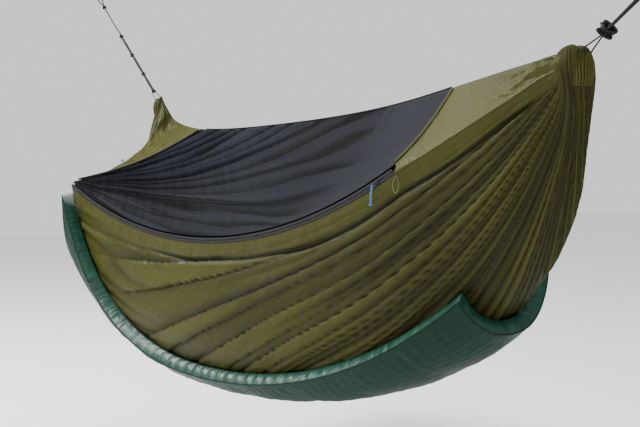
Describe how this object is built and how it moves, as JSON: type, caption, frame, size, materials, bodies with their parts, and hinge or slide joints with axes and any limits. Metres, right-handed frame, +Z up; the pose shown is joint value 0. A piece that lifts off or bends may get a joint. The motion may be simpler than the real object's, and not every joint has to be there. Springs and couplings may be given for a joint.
{
  "type": "camping hammock",
  "caption": "Gathered-end camping hammock hung by ropes, with a zipped insect net over the bed and a boxed underquilt below it.",
  "frame": {"origin": "near hanging point: the inside of the near carabiner's upper bend, where its anchor bears", "axes": "+X along the hammock from its far end to its near end, +Z up, and -Y towards the zipped side"},
  "size_m": [3.8118, 0.9722, 1.5901],
  "materials": {
    "alloy": "satin",
    "steel": "satin",
    "black_rope": "matte",
    "olive_cloth": "satin",
    "net": "matte",
    "black_trim": "matte",
    "zip_plastic": "satin",
    "dark_metal": "satin",
    "blue_cord": "matte",
    "tie_cord": "matte",
    "green_cloth": "satin",
    "pale_green_cloth": "satin",
    "filling": "matte"
  },
  "bodies": {
    "hangers": {"near_carabiner": "alloy", "near_gate_pin": "steel", "far_carabiner": "alloy", "far_gate_pin": "steel"},
    "near_gate_body": {"near_gate": "alloy", "near_gate_spring": "steel"},
    "far_gate_body": {"far_gate": "alloy", "far_gate_spring": "steel"},
    "slider": {"zip_slider": "dark_metal"},
    "pull_tab": {"zip_pull_tab": "dark_metal"},
    "pull_cord": {"zip_pull_cord": "blue_cord", "zip_pull_knot": "blue_cord"},
    "hammock": {"near_rope": "black_rope", "near_knot": "black_rope", "near_channel_cord": "black_rope", "near_channel": "olive_cloth", "far_rope": "black_rope", "far_rope_return": "black_rope", "far_knots": "black_rope", "far_channel_cord": "black_rope", "far_channel": "olive_cloth", "bed": "olive_cloth", "near_top_panel": "olive_cloth", "far_top_panel": "olive_cloth", "insect_net": "net", "far_edge_binding": "black_trim", "near_net_seam": "olive_cloth", "far_net_seam": "black_trim", "zip_tape_bed": "black_trim", "zip_tape_net": "black_trim", "zip_coil_bed": "zip_plastic", "zip_coil_net": "zip_plastic", "zip_end_stops": "zip_plastic", "tie_back_cord": "tie_cord", "guy_loops": "black_rope", "underquilt_shell": "green_cloth", "underquilt_wall": "pale_green_cloth", "underquilt_fill": "filling", "underquilt_elastic": "black_trim"}
  },
  "joints": [
    {"name": "swing", "type": "hinge", "parent": "hangers", "child": "hammock", "pos_m": [-0.06374, 0, -0.04139], "axis": [0.9942, 0, -0.1078], "range_deg": [-30, 30]},
    {"name": "near_gate_hinge", "type": "hinge", "parent": "hangers", "child": "near_gate_body", "pos_m": [-0.03766, 0, -0.04115], "axis": [0, -1, 0], "range_deg": [0, 25], "stiffness_Nm_per_rad": 0.03, "springref_deg": -28.65},
    {"name": "far_gate_hinge", "type": "hinge", "parent": "hangers", "child": "far_gate_body", "pos_m": [-3.75493, 0, 0.35644], "axis": [0, 1, 0], "range_deg": [0, 25], "stiffness_Nm_per_rad": 0.03, "springref_deg": -28.65},
    {"name": "zip_travel", "type": "hinge", "parent": "hammock", "child": "slider", "pos_m": [-1.68218, -0.362, 1.13156], "axis": [0.23, -0.9732, 0], "range_deg": [-50.57, 1.67]},
    {"name": "tab_flip", "type": "hinge", "parent": "slider", "child": "pull_tab", "pos_m": [-0.86118, -0.17429, -0.49315], "axis": [-0.4479, -0.1059, 0.8878], "range_deg": [0, 130]},
    {"name": "pull_cord_swing", "type": "hinge", "parent": "pull_tab", "child": "pull_cord", "pos_m": [-0.87284, -0.17705, -0.49936], "axis": [0.23, -0.9732, 0], "range_deg": [-30, 30]}
  ]
}
